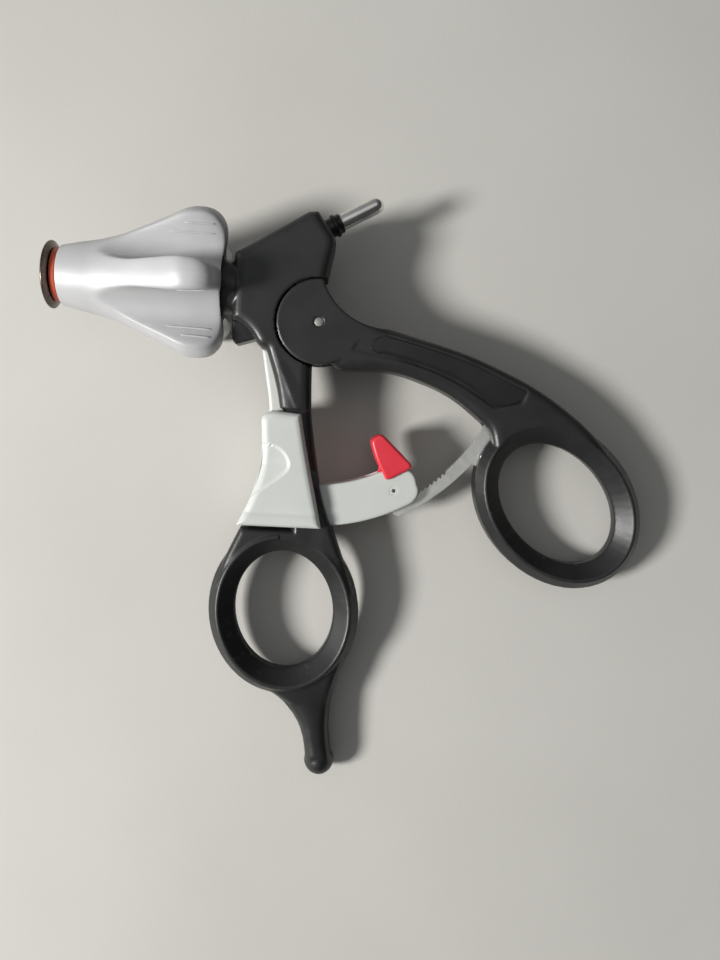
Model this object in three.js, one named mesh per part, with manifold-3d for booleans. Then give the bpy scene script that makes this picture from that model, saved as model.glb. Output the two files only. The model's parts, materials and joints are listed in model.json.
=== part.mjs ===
// Ratcheted ring handle for a modular rod-driven hand instrument, lying on a table.
// Millimetres. Every piece is drawn in the handle's own frame: the origin is the main pivot on the
// middle plane, +X points back along the knob's axis, +Y up the handle, +Z out of its near side.
// The last section lays the handle down, with +Z up and the origin under the middle of its box.
import * as THREE from "three";
import { mergeVertices } from "three/addons/utils/BufferGeometryUtils.js";
import Module from "manifold-3d";

const wasm = await Module();
wasm.setup();

// ---------------------------------------------------------------- driving dimensions
const GAP = 0.3; // clearance between pieces that touch
const REACH = 200; // longer than any cut has to be

// Head and pivot
const HEAD_HALF = 6.5; // half thickness of the head and the hub
const WEB_HALF = 2.6; // half thickness of the head between the fork's cheeks
const HUB_RADIUS = 10.4;
const BOSS_RADIUS = 5.8;
const PIVOT_PIN_RADIUS = 0.8;
const PIVOT_PIN_HALF = 6.35;
const EDGE = 2.4; // width of the sloping edges of the head and the arms

// Knob axis and what turns on it
const AXIS_Y = 7.6;
const HEAD_FRONT_X = -21.4;
const HEAD_FRONT_HALF = 8; // half height of the head's front face
const BARREL_WALL = 0.55; // wall around the bore inside the head
const NECK_START_X = -25.2;
const NECK_WALL = 0.8;
const SLEEVE_BORE = 4.2;
const SLEEVE_RADIUS = 4.8;
const SLEEVE_END_X = -11.6;
const BUSH_WALL = 0.5;
const BUSH_LENGTH = 6.5;
const BUSH_END_X = -13.8;
const CLIP_THICKNESS = 0.6;
const CLIP_RISE = 0.8; // how far the clip stands out of the sleeve
const CLIP_GROOVE_DEPTH = 0.3;
const FLANGE_RADIUS = 8.2;
const FLANGE_RIM = 0.6; // width of the flange's rim, in front of its sloping back
const FLANGE_THICKNESS = 1.3;
const RING_RADIUS = 6.7;
const RING_THICKNESS = 1.2;
const KNOB_FRONT_X = -63.5;
const KNOB_REAR_X = -24.3;
const KNOB_FRONT_WALL = 1.1;
const KNOB_LOBE_RADIUS = 19.2;
const KNOB_LOBES = 5;
const KNOB_LIP_LENGTH = 2.6;
const KNOB_CHAMBER_ROOM = 1.5; // radial room for the spring around the sleeve
const KNOB_RECESS_ROOM = 1.2; // radial room around the barrel's neck
const KNOB_RECESS_DEPTH = 2.8;
const FLUTE_RADIUS = 5.2;
const FLUTE_FLOOR = [2.6, 0.5]; // the flutes' floor above the knob's front end and above its rear recess
const LOBE_ROUNDING = [0.5, 2.6]; // how softly the lobes are rounded over at the knob's front and rear
const KNOB_TRAVEL = 1.5;
const BALL_COUNT = 3;
const BALL_RADIUS = 0.9;
const SPRING_WIRE = 0.35;
const SPRING_TURNS = 6;

// Drive rod
const ROD_RADIUS = 1.5;
const ROD_BALL_RADIUS = 2.2;
const ROD_FRONT_X = -42;
const ROD_EYE_HALF = 2; // half thickness of the eye
const ROD_EYE_HEIGHT = 5.4;
const DRIVE_PIN_RADIUS = 1;
const DRIVE_PIN_HALF = 5.2;
const DRIVE_PIN_SLACK = 0.2;
const ARM_SWING = 22; // degrees from fully open to fully closed

// Connector
const PIN_ANGLE = 30; // degrees above the knob axis
const PIN_RADIUS = 2;
const PIN_TIP = [14.1, 31.2];
const PIN_OUTSIDE = 11.2; // bare length behind the collar
const PIN_INSIDE = 12;
const COLLAR_RADIUS = 2.45;
const COLLAR_STEP_RADIUS = 2.9;
const COLLAR_OUTSIDE = 2.8;
const COLLAR_INSIDE = 6;
const CONTACT_THICKNESS = 0.4;
const CONTACT_HALF = 1;

// Thumb arm
const ARM_TAPER = 0.8; // thickness at the ring as a share of the thickness at the hub
const SCOOP_CENTRE = [16, 16.1];
const SCOOP_RADIUS = 16.5;
const FORK_RADIUS = 10.9;
const PANEL_DEPTH = 0.45;

// Rings
const RING_HALF = 5; // half thickness at the crest
const RING_RIM_HALF = 1.4; // half thickness at the edge of the opening
const RING_EDGE_HALF = 2.3; // half thickness at the outer edge
const RING_WIDTH = 6.6;
const RING_OUTER_SLOPE = 2.2; // width from the crest to the outer edge
const CREST_FLAT = 0.5;
const THUMB_RING = { centre: [64.5, -41.8], semi: [18, 12.7], turn: -43 };
const FINGER_RING = { centre: [-4.75, -73.6], semi: [12.7, 15.6], turn: 9 };
const RING_SIDES = 56;

// Front arm
const SPINE_HALF = 4.8; // half thickness inside the trigger's pad
const PAD_TOP_Y = -21.6;
const LEDGE_Y = -52;
const LEDGE_HALF = 4.6;
const CHANNEL_HALF = 2;
const SPUR_HALF = 4;
const SPUR_BALL = { centre: [6.7, -113.9], radius: 4 };

// Trigger
const TRIGGER_PIVOT = [-9.8, -9.8];
const TRIGGER_PIN_RADIUS = 0.8;
const TRIGGER_PIN_HALF = 4;
const LEVER_HALF = 1.5;
const PAD_HALF = 7;
const PAD_SLOT_HALF = 5.2;

// Ratchet
const HOUSING_INNER = 40.2; // radii about the main pivot
const HOUSING_OUTER = 51;
const HOUSING_HALF = 3.1;
const HOUSING_SLOT_HALF = 1.9;
const HOUSING_WEB = 2;
const HOUSING_ROOF = 3.2; // the web's depth around the housing's own pin
const HOUSING_END = -54.6; // degrees about the main pivot
const RACK_INNER = 49.5;
const RACK_OUTER = 52.8;
const RACK_HALF = 0.6;
const RACK_TIP = -64;
const TOOTH_DEPTH = 0.65;
const TOOTH_PITCH = 1.6; // degrees
const RACK_TEETH = 12;
const FOOT_OUTER = 55;
const FOOT_ANGLES = [-38.3, -27];
const RACK_PIN_RADIUS = 0.6;
const RACK_PIN_HALF = 2;
const RACK_PIN_ORBIT = 53.7;
const RACK_PIN_ANGLES = [-29.6, -35];
const PAWL_PIVOT = [21.4, -40.7];
const PAWL_PIN_RADIUS = 0.6;
const PAWL_EYE_RADIUS = 1.7;
const PAWL_HALF = 0.6;
const SWITCH_HALF = 4.2;
const SWITCH_SWING = 18; // degrees
const SWITCH_LEG = [0.9, 1.6]; // a leg's inner and outer face

// Release button
const BUTTON_HALF = 3.3;
const BUTTON_TRAVEL = 1.2;
const BUTTON_COVER = 2.3; // from the sleeve's bore down to the button's top

// ---------------------------------------------------------------- helpers
const radians = THREE.MathUtils.degToRad;
const polar = (radius, angle) => [radius * Math.cos(radians(angle)), radius * Math.sin(radians(angle))];

function solid(geometry) {
  const bare = geometry.clone();
  bare.deleteAttribute("normal");
  bare.deleteAttribute("uv");
  const merged = mergeVertices(bare, 1e-4);
  const vertProperties = merged.attributes.position.array;
  const triVerts = new Uint32Array(merged.index.array);
  return new wasm.Manifold(new wasm.Mesh({ numProp: 3, vertProperties, triVerts }));
}

function geometryOf(body) {
  const mesh = body.getMesh();
  const made = new THREE.BufferGeometry();
  made.setAttribute("position", new THREE.BufferAttribute(mesh.vertProperties, 3));
  made.setIndex(new THREE.BufferAttribute(mesh.triVerts, 1));
  return made;
}

const join = (...bodies) => bodies.reduce((all, next) => all.add(next));
const cut = (body, ...tools) => tools.reduce((left, tool) => left.subtract(tool), body);

// A closed outline through corners [x, y, ease]: each corner is rounded from ease before it to ease after it.
function outline(corners) {
  const shape = new THREE.Shape();
  const points = corners.map(([x, y]) => new THREE.Vector2(x, y));
  points.forEach((corner, i) => {
    const ease = corners[i][2] ?? 0;
    const before = points.at(i - 1).clone().sub(corner).setLength(ease).add(corner);
    const after = points[(i + 1) % points.length].clone().sub(corner).setLength(ease).add(corner);
    if (i === 0) shape.moveTo(before.x, before.y);
    else shape.lineTo(before.x, before.y);
    if (ease > 0) shape.quadraticCurveTo(corner.x, corner.y, after.x, after.y);
  });
  return shape;
}

// The part of a ring between two radii and two angles about the main pivot.
function sector(inner, outer, from, to) {
  const shape = new THREE.Shape();
  shape.absarc(0, 0, outer, radians(from), radians(to), false);
  shape.absarc(0, 0, inner, radians(to), radians(from), true);
  return shape;
}

// A flat piece between two heights, with straight sides.
function plate(shape, low, high, curveSegments = 5) {
  const made = new THREE.ExtrudeGeometry(shape, { depth: high - low, bevelEnabled: false, curveSegments });
  return made.translate(0, 0, low);
}

// A flat piece centred on the middle plane, with rounded edges that stay inside the outline.
function slab(shape, half, edge, rise = edge, curveSegments = 5, bevelSegments = 3) {
  const made = new THREE.ExtrudeGeometry(shape, {
    depth: 2 * (half - rise),
    bevelEnabled: true,
    bevelSize: edge,
    bevelOffset: -edge,
    bevelThickness: rise,
    bevelSegments,
    curveSegments,
  });
  return made.translate(0, 0, rise - half);
}

const cylinder = (radius, half, [x, y] = [0, 0], sides = 24) =>
  new THREE.CylinderGeometry(radius, radius, 2 * half, sides).rotateX(Math.PI / 2).translate(x, y, 0);

const block = (x0, x1, y0, y1, half) =>
  new THREE.BoxGeometry(x1 - x0, y1 - y0, 2 * half).translate((x0 + x1) / 2, (y0 + y1) / 2, 0);

// A turned piece: profile points are [radius, place along the axis], in either direction.
function turned(profile, sides = 32) {
  const closed = profile.map(([radius, along]) => new THREE.Vector2(radius, along));
  const loop = [...closed, closed[0]];
  const area = loop.slice(1).reduce((sum, next, i) => sum + loop[i].x * next.y - next.x * loop[i].y, 0);
  if (area < 0) closed.reverse();
  return new THREE.LatheGeometry(closed, sides);
}

const alongX = (geometry) => geometry.rotateZ(-Math.PI / 2).translate(0, AXIS_Y, 0);

// A hollow turned piece on the knob's axis: the profile closes on itself.
const sleeve = (profile, sides) => alongX(turned([...profile, profile[0]], sides));

// A solid through level outlines, from the highest to the lowest. Each level is [z, ellipse].
function loft(levels, sides = RING_SIDES) {
  const made = new THREE.CylinderGeometry(1, 1, 1, sides, levels.length - 1);
  const place = made.attributes.position;
  for (let i = 0; i < place.count; i += 1) {
    const level = levels[Math.round((0.5 - place.getY(i)) * (levels.length - 1))];
    const [z, { centre, semi, turn }] = level;
    const across = new THREE.Vector2(place.getZ(i) * semi[0], place.getX(i) * semi[1]);
    across.rotateAround(new THREE.Vector2(), radians(turn));
    place.setXYZ(i, centre[0] + across.x, centre[1] + across.y, z);
  }
  return made;
}

const grown = (ellipse, by) => ({ ...ellipse, semi: ellipse.semi.map((half) => half + by) });

// A ring's body before its opening is cut.
function ringDisc(ring) {
  const crest = grown(ring, RING_WIDTH - RING_OUTER_SLOPE);
  const outer = grown(ring, RING_WIDTH);
  const levels = [
    [RING_HALF, crest],
    [RING_EDGE_HALF, outer],
    [-RING_EDGE_HALF, outer],
    [-RING_HALF, crest],
  ];
  return solid(loft(levels));
}

// The opening with its funnel on both sides.
function ringOpening(ring) {
  const crest = grown(ring, RING_WIDTH - RING_OUTER_SLOPE - CREST_FLAT);
  const mouth = grown(ring, RING_WIDTH);
  const over = (RING_HALF - RING_RIM_HALF) / (RING_WIDTH - RING_OUTER_SLOPE - CREST_FLAT);
  const high = RING_HALF + (RING_OUTER_SLOPE + CREST_FLAT) * over;
  const levels = [
    [high, mouth],
    [RING_HALF, crest],
    [RING_RIM_HALF, ring],
    [-RING_RIM_HALF, ring],
    [-RING_HALF, crest],
    [-high, mouth],
  ];
  return solid(loft(levels));
}

// A round wire or strip along a curve.
function swept(curve, steps, section) {
  const settings = { steps, extrudePath: curve, bevelEnabled: false, curveSegments: 1 };
  return new THREE.ExtrudeGeometry(section, settings);
}

function circleShape(radius, sides) {
  const corner = (_, i) => new THREE.Vector2(...polar(radius, (360 * i) / sides));
  return new THREE.Shape(Array.from({ length: sides }, corner));
}

class Helix extends THREE.Curve {
  constructor(radius, low, high, turns) {
    super();
    Object.assign(this, { radius, low, high, turns });
  }
  getPoint(t, target = new THREE.Vector3()) {
    const angle = 2 * Math.PI * this.turns * t;
    const along = THREE.MathUtils.lerp(this.low, this.high, t);
    return target.set(this.radius * Math.cos(angle), along, this.radius * Math.sin(angle));
  }
}

function coil(radius, wire, low, high, turns, stepsPerTurn = 10, sides = 5) {
  const curve = new Helix(radius, low, high, turns);
  return swept(curve, turns * stepsPerTurn, circleShape(wire, sides));
}

// ---------------------------------------------------------------- materials
const finish = (color, roughness, metalness) => () =>
  new THREE.MeshStandardMaterial({ color, roughness, metalness });
const darkPlastic = finish(0x34363a, 0.42, 0);
const blackPlastic = finish(0x141416, 0.5, 0);
const lightPlastic = finish(0xc9cbc6, 0.45, 0);
const redPlastic = finish(0xd3303f, 0.3, 0);
const orangePlastic = finish(0xd8553a, 0.4, 0);
const silverPlastic = finish(0xbfc0c6, 0.35, 0.1);
const bronzeMetal = finish(0x4b443e, 0.4, 0.7);
const polishedSteel = finish(0xd5d5d2, 0.12, 1);
const brushedSteel = finish(0xa9aaa4, 0.35, 1);

const handle = new THREE.Group();
function add(name, shape, material) {
  const geometry = shape.isBufferGeometry ? shape : geometryOf(shape);
  const mesh = new THREE.Mesh(geometry, material());
  mesh.name = name;
  handle.add(mesh);
}

// ---------------------------------------------------------------- shared places
// A turned piece on the connector's axis, with its profile measured inwards from the pin's tip.
function onPinAxis(profile, sides) {
  const inwards = profile.map(([radius, along]) => [radius, -along]);
  const made = turned(inwards, sides).rotateZ(radians(PIN_ANGLE) - Math.PI / 2);
  return made.translate(PIN_TIP[0], PIN_TIP[1], 0);
}
const boreRadius = SLEEVE_RADIUS + GAP + BUSH_WALL + GAP;
const neckRadius = boreRadius + NECK_WALL;
const chamberRadius = SLEEVE_RADIUS + KNOB_CHAMBER_ROOM;
const knobFrontRadius = chamberRadius + KNOB_FRONT_WALL;
const recessRadius = neckRadius + KNOB_RECESS_ROOM;
const buttonTopY = AXIS_Y - boreRadius - BUTTON_COVER;
const boreEndX = SLEEVE_END_X + 2 * GAP;
const flangeBackX = KNOB_FRONT_X - GAP - RING_THICKNESS;
const flangeFrontX = flangeBackX - GAP - FLANGE_THICKNESS;
const swingReach = AXIS_Y / Math.cos(radians(ARM_SWING / 2));
const drivePin = polar(swingReach, 90 + ARM_SWING / 2);
const spineRear = [
  [-1.2, -9],
  [-1.2, -13, 3],
  [-0.5, -24, 5],
  [1.2, -34, 5],
  [3.3, -43.4, 5],
  [9.9, -60],
];

// ---------------------------------------------------------------- handle body
function headSlab() {
  const shape = outline([
    [HEAD_FRONT_X, AXIS_Y + HEAD_FRONT_HALF],
    [-4, 26.5],
    [-1.6, 26.8],
    [3.3, 20.2, 1.8],
    [1.9, 12.5, 1],
    ...spineRear.slice(0, 2),
    [-0.4, -27],
    [-7.6, -27],
    [-9.4, -16.5, 5],
    [-12.6, -7.4, 0.4],
    [-14.5, -6.9, 1.4],
    [-17.1, -2.6, 3],
    [HEAD_FRONT_X, AXIS_Y - HEAD_FRONT_HALF],
  ]);
  const made = slab(shape, HEAD_HALF, EDGE);
  // The front arm gets thinner from the hub down to the trigger's pad.
  const place = made.attributes.position;
  const thin = SPINE_HALF / HEAD_HALF + 0.06;
  for (let i = 0; i < place.count; i += 1) {
    const down = THREE.MathUtils.smoothstep(-place.getY(i), HUB_RADIUS - 3, -PAD_TOP_Y);
    place.setZ(i, place.getZ(i) * THREE.MathUtils.lerp(1, thin, down));
  }
  return cut(solid(made), solid(block(-REACH, REACH, PAD_TOP_Y - REACH, PAD_TOP_Y, REACH)));
}

function spineSlab() {
  const front = [
    [-3.4, -58],
    [-4.2, -46, 5],
    [-6.6, -33, 5],
    [-7.9, -20],
  ];
  return solid(slab(outline([[-1.4, -16], ...spineRear.slice(2), ...front]), SPINE_HALF, EDGE - 0.6));
}

function barrel() {
  const profile = [
    [0, NECK_START_X],
    [neckRadius - 0.4, NECK_START_X],
    [neckRadius, NECK_START_X + 0.4],
    [neckRadius, HEAD_FRONT_X + 0.6],
    [boreRadius + BARREL_WALL, HEAD_FRONT_X + 1],
    [boreRadius + BARREL_WALL, SLEEVE_END_X],
    [0, SLEEVE_END_X],
  ];
  return solid(alongX(turned(profile, 40)));
}

function ledge() {
  const shape = outline([
    [-16.9, LEDGE_Y],
    [5.6, LEDGE_Y],
    [9.8, -59.5, 2],
    [13, -68],
    [-23, -68],
    [-20.6, -60.4, 3],
  ]);
  return solid(slab(shape, LEDGE_HALF, 1.6));
}

function spur() {
  const shape = outline([
    [-13.6, -92.6],
    [-5.6, -96, 4],
    [1.6, -104, 6],
    [SPUR_BALL.centre[0] - 3.6, SPUR_BALL.centre[1]],
    [SPUR_BALL.centre[0] + 3.4, SPUR_BALL.centre[1]],
    [8.2, -103, 6],
    [9.4, -92.6, 4],
    [13, -82],
  ]);
  const end = new THREE.SphereGeometry(SPUR_BALL.radius, 20, 12).translate(...SPUR_BALL.centre, 0);
  return join(solid(slab(shape, SPUR_HALF, 2.2, 2.6)), solid(end));
}

// Room for the fork's cheeks on both sides of the head's web.
function cheekRoom() {
  const disc = cylinder(HUB_RADIUS + GAP + 0.1, REACH / 2, [0, 0], 72);
  const side = (sign) => solid(disc.clone().translate(0, 0, sign * (WEB_HALF + REACH / 2)));
  return join(side(1), side(-1));
}

function channel() {
  const shape = outline([
    [-30, -6.6],
    [-5, -6.6, 2],
    [-4.2, -20, 3],
    [-3.4, -31, 3],
    [-0.6, -41, 2],
    [0.4, -50],
    [-30, -50],
  ]);
  return solid(plate(shape, -CHANNEL_HALF, CHANNEL_HALF));
}

function connectorRoom() {
  const stop = PIN_OUTSIDE + COLLAR_INSIDE + COLLAR_OUTSIDE + GAP;
  const profile = [
    [0, 0],
    [COLLAR_RADIUS + GAP, 0],
    [COLLAR_RADIUS + GAP, stop],
    [PIN_RADIUS + GAP, stop],
    [PIN_RADIUS + GAP, stop + PIN_INSIDE],
    [0, stop + PIN_INSIDE],
  ];
  return join(solid(onPinAxis(profile, 20)), solid(block(-12.4, -7, AXIS_Y, 17.5, CONTACT_HALF + 2 * GAP)));
}

function rodRoom() {
  const bore = [
    [0, NECK_START_X - 5],
    [boreRadius, NECK_START_X - 5],
    [boreRadius, boreEndX],
    [0, boreEndX],
  ];
  const half = ROD_EYE_HEIGHT / 2 + 2 * GAP;
  const slot = block(boreEndX - 1, REACH, AXIS_Y - half, AXIS_Y + half, WEB_HALF);
  return join(solid(alongX(turned(bore, 40))), solid(slot));
}

const housingShape = (grow) => {
  const inner = HOUSING_INNER - grow;
  const outer = HOUSING_OUTER + grow;
  const shape = new THREE.Shape();
  shape.absarc(0, 0, inner, radians(-93), radians(-64), false);
  const lip = polar(inner + 3, HOUSING_END + 2.6);
  shape.lineTo(...polar(inner + 0.6, HOUSING_END - 4));
  shape.quadraticCurveTo(...lip, ...polar(inner + 7, HOUSING_END));
  shape.quadraticCurveTo(...polar(outer - 0.4, HOUSING_END - 0.4), ...polar(outer, HOUSING_END - 4.5));
  shape.absarc(0, 0, outer, radians(HOUSING_END - 5), radians(-93), true);
  return shape;
};

const rackShape = (grow) =>
  sector(RACK_INNER - grow, RACK_OUTER + grow, RACK_TIP - ARM_SWING - 2, HOUSING_END);
const housingWindow = () => solid(plate(housingShape(GAP), -HOUSING_HALF - GAP, HOUSING_HALF + GAP, 12));
const housingPinPlace = polar(HOUSING_INNER + HOUSING_ROOF / 2, -90.5);

function buttonPocket() {
  const shape = outline([
    [-REACH, -REACH / 2],
    [-13.4, -REACH / 2],
    [-13.4, buttonTopY + BUTTON_TRAVEL + GAP],
    [HEAD_FRONT_X - 0.5, buttonTopY + BUTTON_TRAVEL + GAP],
    [HEAD_FRONT_X - 0.5, -REACH / 3],
  ]);
  const room = solid(plate(shape, -BUTTON_HALF - GAP, BUTTON_HALF + GAP));
  return room.intersect(solid(block(-24, -13.4, -7.4, 2, REACH)));
}

function handleBody() {
  const blank = join(headSlab(), spineSlab(), barrel(), ledge(), ringDisc(FINGER_RING), spur());
  const boss = solid(cylinder(BOSS_RADIUS, WEB_HALF, [0, 0], 40));
  const opened = cut(join(cut(blank, cheekRoom()), boss), ringOpening(FINGER_RING));
  return cut(
    opened,
    channel(),
    connectorRoom(),
    rodRoom(),
    housingWindow(),
    buttonPocket(),
    solid(plate(rackShape(2 * GAP), -RACK_HALF - GAP, RACK_HALF + GAP, 16)),
    solid(cylinder(PIVOT_PIN_RADIUS + GAP, REACH)),
    solid(cylinder(TRIGGER_PIN_RADIUS + GAP, TRIGGER_PIN_HALF + GAP, TRIGGER_PIVOT, 16)),
    solid(cylinder(PAWL_PIN_RADIUS + GAP, SPINE_HALF - 0.4, housingPinPlace, 12)),
  );
}
add("handle_body", handleBody(), darkPlastic);

// ---------------------------------------------------------------- thumb arm
function armSlab() {
  const shape = outline([
    [-4, 6],
    [6, 5],
    [15, 0.2, 3],
    [38, -4.9, 8],
    [57, -12.6, 8],
    [71, -22.2, 6],
    [80.5, -33],
    [66, -40],
    [48, -36],
    [44.9, -23.2, 2.4],
    [34.6, -15.4, 6],
    [19, -10.4, 6],
    [6, -11.2, 2],
    [3, -9.4],
    [-4, -6],
  ]);
  return slab(shape, HEAD_HALF, EDGE, EDGE, 6);
}

function tapered(geometry) {
  const place = geometry.attributes.position;
  for (let i = 0; i < place.count; i += 1) {
    const out = THREE.MathUtils.smoothstep(place.getX(i), HUB_RADIUS + 2, THUMB_RING.centre[0] - 12);
    place.setZ(i, place.getZ(i) * THREE.MathUtils.lerp(1, ARM_TAPER, out));
  }
  return geometry;
}

// The recessed blank panel on the near face, which follows the arm's edge.
function panelRoom() {
  const shape = outline([
    [13.2, -4.2, 2],
    [17, -1.9, 2],
    [37, -6.6, 8],
    [53.6, -13.4, 0.6],
    [52.4, -16.6, 0.6],
    [45.4, -18.4, 0.6],
    [34, -11.6, 8],
    [17, -6.9, 2],
  ]);
  const made = plate(shape, HEAD_HALF - PANEL_DEPTH, HEAD_HALF + 2, 6);
  return solid(tapered(made));
}

function thumbArm() {
  const hub = solid(cylinder(HUB_RADIUS, HEAD_HALF, [0, 0], 72));
  const blank = join(hub, solid(tapered(armSlab())), ringDisc(THUMB_RING));
  const foot = sector(RACK_INNER - 1, FOOT_OUTER + GAP, FOOT_ANGLES[0] - 0.4, FOOT_ANGLES[1] + 0.4);
  const rackPinRoom = RACK_PIN_ANGLES.map((angle) =>
    solid(cylinder(RACK_PIN_RADIUS + GAP, RACK_PIN_HALF + GAP, polar(RACK_PIN_ORBIT, angle), 12)),
  );
  return cut(
    blank,
    ringOpening(THUMB_RING),
    solid(cylinder(SCOOP_RADIUS, REACH, SCOOP_CENTRE, 96)),
    solid(cylinder(FORK_RADIUS, WEB_HALF + GAP + 0.1, [0, 0], 64)),
    solid(cylinder(PIVOT_PIN_RADIUS + GAP, REACH)),
    solid(cylinder(DRIVE_PIN_RADIUS + GAP, DRIVE_PIN_HALF + GAP, drivePin, 16)),
    solid(plate(foot, -RACK_HALF - GAP, RACK_HALF + GAP, 6)),
    panelRoom(),
    ...rackPinRoom,
  );
}
add("thumb_arm", thumbArm(), darkPlastic);
add("pivot_pin", cylinder(PIVOT_PIN_RADIUS, PIVOT_PIN_HALF), brushedSteel);
add("drive_pin", cylinder(DRIVE_PIN_RADIUS, DRIVE_PIN_HALF, drivePin, 16), polishedSteel);

// ---------------------------------------------------------------- knob and coupling
const knobCrest = [
  [knobFrontRadius - 0.5, KNOB_FRONT_X],
  [knobFrontRadius, KNOB_FRONT_X + 0.6],
  [knobFrontRadius + 0.9, -59],
  [knobFrontRadius + 1.9, -54],
  [11, -48.5],
  [13.4, -43],
  [16, -37.5],
  [18.2, -33],
  [KNOB_LOBE_RADIUS, -29.6],
  [KNOB_LOBE_RADIUS - 0.2, -27.2],
  [KNOB_LOBE_RADIUS - 1.4, -25],
  [KNOB_LOBE_RADIUS - 3.4, -23.6],
  [KNOB_LOBE_RADIUS - 5.8, -23.1],
  [recessRadius + 3.7, -23.5],
  [recessRadius + 1.7, KNOB_REAR_X],
  [recessRadius, KNOB_REAR_X],
];
const knobBore = [
  [recessRadius, KNOB_REAR_X - KNOB_RECESS_DEPTH],
  [chamberRadius, KNOB_REAR_X - KNOB_RECESS_DEPTH],
  [chamberRadius, KNOB_FRONT_X + KNOB_LIP_LENGTH],
  [SLEEVE_RADIUS + GAP, KNOB_FRONT_X + KNOB_LIP_LENGTH],
  [SLEEVE_RADIUS + GAP, KNOB_FRONT_X],
];

// How deep a place lies in a flute, at an angle away from the flute's middle. The flute is round, and
// beyond its widest place its sides stand radially.
function depthInFlute(radius, away, valley) {
  const centre = valley + FLUTE_RADIUS;
  const half = Math.asin(FLUTE_RADIUS / centre);
  if (radius > centre * Math.cos(half)) return radius * Math.sin(half - away);
  return FLUTE_RADIUS - Math.sqrt(radius ** 2 + centre ** 2 - 2 * radius * centre * Math.cos(away));
}

const smoothMax = (a, b, width) => (a + b + Math.hypot(a - b, width)) / 2;

// The knob's surface at one place along it, where it would reach the crest's radius without its flutes.
function flutedRadius(crest, away, x) {
  const back = (x - KNOB_FRONT_X) / (KNOB_REAR_X - KNOB_FRONT_X);
  const valley = THREE.MathUtils.lerp(knobFrontRadius + FLUTE_FLOOR[0], recessRadius + FLUTE_FLOOR[1], back);
  const rounding = THREE.MathUtils.lerp(...LOBE_ROUNDING, back);
  let inside = 0;
  let outside = crest;
  while (outside - inside > 1e-4) {
    const middle = (inside + outside) / 2;
    if (smoothMax(middle - crest, depthInFlute(middle, away, valley), rounding) > 0) outside = middle;
    else inside = middle;
  }
  return outside;
}

const lobeStep = (2 * Math.PI) / KNOB_LOBES;
function fluted(geometry) {
  const place = geometry.attributes.position;
  for (let i = 0; i < place.count; i += 1) {
    const [x, y, z] = [place.getX(i), place.getY(i), place.getZ(i)];
    const radius = Math.hypot(y, z);
    const angle = Math.atan2(y, z);
    const away = Math.abs(angle - (Math.floor(angle / lobeStep) + 0.5) * lobeStep);
    const scale = radius > recessRadius + GAP ? flutedRadius(radius, away, x) / radius : 1;
    place.setXYZ(i, x, y * scale, z * scale);
  }
  return geometry;
}
const knobSides = 90;
const knobBlank = turned([...knobCrest, ...knobBore, knobCrest[0]], knobSides).rotateZ(-Math.PI / 2);
add("star_knob", fluted(knobBlank).translate(0, AXIS_Y, 0), silverPlastic);

const grooveX = SLEEVE_END_X - 1.2;
const shoulderX = KNOB_REAR_X - KNOB_RECESS_DEPTH - KNOB_TRAVEL;
const sleeveBlank = sleeve([
  [SLEEVE_BORE, flangeFrontX + 2 * GAP],
  [SLEEVE_RADIUS, flangeFrontX + 2 * GAP],
  [SLEEVE_RADIUS, shoulderX - 1],
  [chamberRadius - GAP, shoulderX - 1],
  [chamberRadius - GAP, shoulderX],
  [SLEEVE_RADIUS, shoulderX],
  [SLEEVE_RADIUS, grooveX - CLIP_THICKNESS - GAP],
  [SLEEVE_RADIUS - CLIP_GROOVE_DEPTH, grooveX - CLIP_THICKNESS - GAP],
  [SLEEVE_RADIUS - CLIP_GROOVE_DEPTH, grooveX + GAP],
  [SLEEVE_RADIUS, grooveX + GAP],
  [SLEEVE_RADIUS, SLEEVE_END_X],
  [SLEEVE_BORE, SLEEVE_END_X],
]);
const ballOrbit = SLEEVE_RADIUS - BALL_RADIUS;
const ballX = KNOB_FRONT_X + KNOB_LIP_LENGTH / 2;
const ballAngles = Array.from({ length: BALL_COUNT }, (_, i) => 60 + (360 / BALL_COUNT) * i);
const ballHole = (angle) => {
  const hole = new THREE.CylinderGeometry(BALL_RADIUS + GAP, BALL_RADIUS + GAP, ballOrbit + 3, 12);
  hole.translate(0, (ballOrbit + 3) / 2, 0).rotateX(radians(angle));
  return solid(hole.translate(ballX, AXIS_Y, 0));
};
add("coupling_sleeve", cut(solid(sleeveBlank), ...ballAngles.map(ballHole)), brushedSteel);
ballAngles.forEach((angle, i) => {
  const ball = new THREE.SphereGeometry(BALL_RADIUS, 12, 8);
  ball.translate(0, ballOrbit, 0).rotateX(radians(angle)).translate(ballX, AXIS_Y, 0);
  add(`lock_ball_${i + 1}`, ball, polishedSteel);
});

const flangeBore = SLEEVE_RADIUS + GAP;
const flange = sleeve([
  [SLEEVE_BORE, flangeFrontX],
  [FLANGE_RADIUS - 0.3, flangeFrontX],
  [FLANGE_RADIUS, flangeFrontX + 0.3],
  [FLANGE_RADIUS, flangeFrontX + FLANGE_RIM],
  [RING_RADIUS, flangeBackX - GAP],
  [flangeBore, flangeBackX - GAP],
  [flangeBore, flangeFrontX + GAP],
  [SLEEVE_BORE, flangeFrontX + GAP],
], 48);
add("front_flange", flange, bronzeMetal);
const indicator = sleeve([
  [flangeBore, flangeBackX],
  [RING_RADIUS, flangeBackX],
  [RING_RADIUS, flangeBackX + RING_THICKNESS],
  [flangeBore, flangeBackX + RING_THICKNESS],
], 48);
add("indicator_ring", indicator, orangePlastic);

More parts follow.
